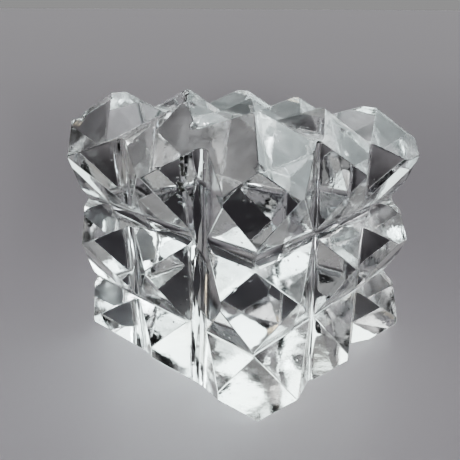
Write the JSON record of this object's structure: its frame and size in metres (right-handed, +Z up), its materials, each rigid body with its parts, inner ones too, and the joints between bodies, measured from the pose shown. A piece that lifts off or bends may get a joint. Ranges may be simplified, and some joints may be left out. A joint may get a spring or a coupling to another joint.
{
  "type": "faceted rock crystal block",
  "caption": "Clear rock crystal block with wide bevelled edges, cut with crossing V grooves into rows of low diamond-point pyramids on a flat base.",
  "frame": {"origin": "middle of the block's outer box, on the flat base it stands on", "axes": "+Z up, -Y towards the front side, +X towards the right side"},
  "size_m": [0.0488, 0.0472, 0.0448],
  "materials": {
    "clear_crystal": "polished facets, slightly worn edges"
  },
  "bodies": {
    "root": {"crystal": "clear_crystal"}
  },
  "joints": []
}
